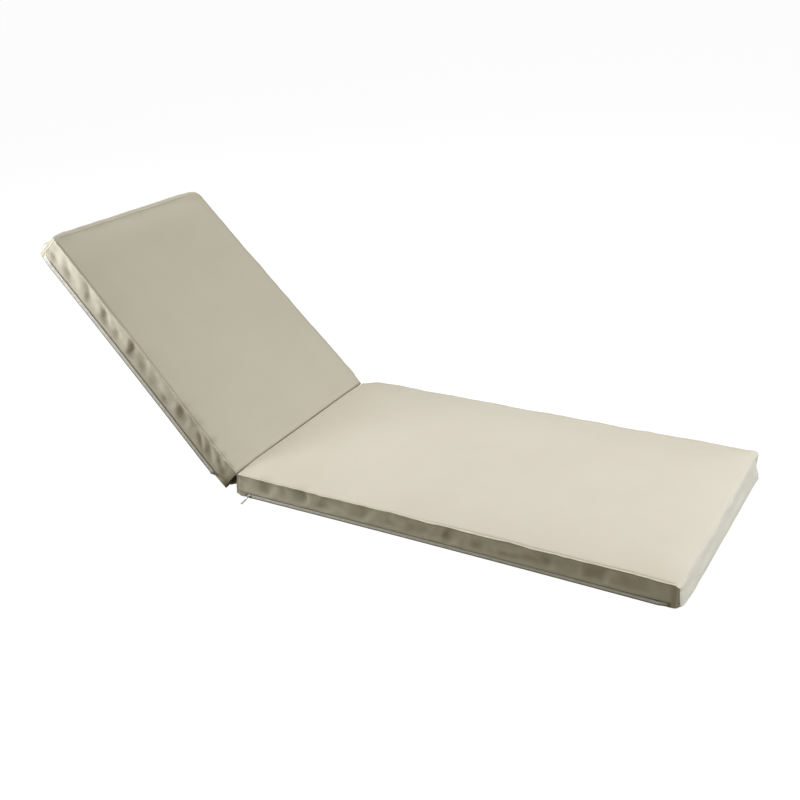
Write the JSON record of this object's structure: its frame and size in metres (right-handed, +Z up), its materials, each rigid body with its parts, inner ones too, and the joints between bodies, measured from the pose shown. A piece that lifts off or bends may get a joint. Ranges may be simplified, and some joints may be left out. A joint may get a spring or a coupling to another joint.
{
  "type": "sun lounger cushion",
  "caption": "Long boxed lounger cushion in plain beige outdoor cloth, its back section raised on a sewn fold, with zips along the lower edge of one side.",
  "frame": {"origin": "middle of the seat section's flat underside, where the cushion rests on the ground", "axes": "+Z up, +X along the seat towards its foot end, -Y towards the side that holds the zips"},
  "size_m": [1.735, 0.6364, 0.6322],
  "materials": {
    "cover_cloth": "plain woven outdoor polyester, matt, beige",
    "zip_tape": "woven tape with a nylon coil, light grey",
    "zip_metal": "cast zip metal, satin grey"
  },
  "bodies": {
    "root": {"seat_pad": "cover_cloth", "back_pad": "cover_cloth", "fold_web": "cover_cloth", "seat_zip": "zip_tape", "back_zip": "zip_tape", "seat_zip_slider": "zip_metal", "seat_zip_pull": "zip_metal", "back_zip_slider": "zip_metal"}
  },
  "joints": []
}
